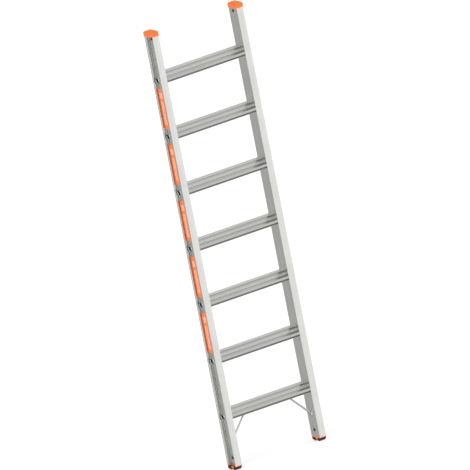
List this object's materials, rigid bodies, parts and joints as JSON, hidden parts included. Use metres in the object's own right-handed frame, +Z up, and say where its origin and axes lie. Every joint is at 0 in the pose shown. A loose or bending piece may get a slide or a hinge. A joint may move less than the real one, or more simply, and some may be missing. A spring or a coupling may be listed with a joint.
{
  "type": "leaning step ladder",
  "caption": "Single-section leaning ladder: two channelled aluminium stiles, flat ribbed treads that slope forward, plastic top caps, rubber-soled feet and two diagonal braces.",
  "frame": {"origin": "on the sole plane, midway between the two feet and midway between the front and rear faces of the stiles", "axes": "+Z up along the stiles, +X to the right seen from the front, +Y to the back, towards the wall that the ladder leans on"},
  "size_m": [0.4744, 0.0734, 1.9547],
  "materials": {
    "stile_aluminium": "extruded, satin, fine lengthwise die lines",
    "tread_aluminium": "extruded, satin, ribbed on top",
    "orange_plastic": "moulded, slightly textured",
    "foot_rubber": "matt moulded",
    "brace_metal": "zinc plated",
    "rivet_metal": "plain",
    "label_film": "printed self-adhesive film with pale plain marks"
  },
  "bodies": {
    "root": {"stile_left": "stile_aluminium", "stile_right": "stile_aluminium", "tread_1": "tread_aluminium", "tread_2": "tread_aluminium", "tread_3": "tread_aluminium", "tread_4": "tread_aluminium", "tread_5": "tread_aluminium", "tread_6": "tread_aluminium", "tread_7": "tread_aluminium", "cap_left": "orange_plastic", "cap_right": "orange_plastic", "foot_left": "orange_plastic", "foot_right": "orange_plastic", "foot_pad_front_left": "foot_rubber", "foot_pad_front_right": "foot_rubber", "foot_pad_rear_left": "foot_rubber", "foot_pad_rear_right": "foot_rubber", "brace_left": "brace_metal", "brace_right": "brace_metal", "cap_rivets": "rivet_metal", "foot_rivets": "rivet_metal", "brace_rivets": "rivet_metal", "label_1": "label_film", "label_2": "label_film", "label_3": "label_film", "label_4": "label_film", "label_5": "label_film"}
  },
  "joints": []
}
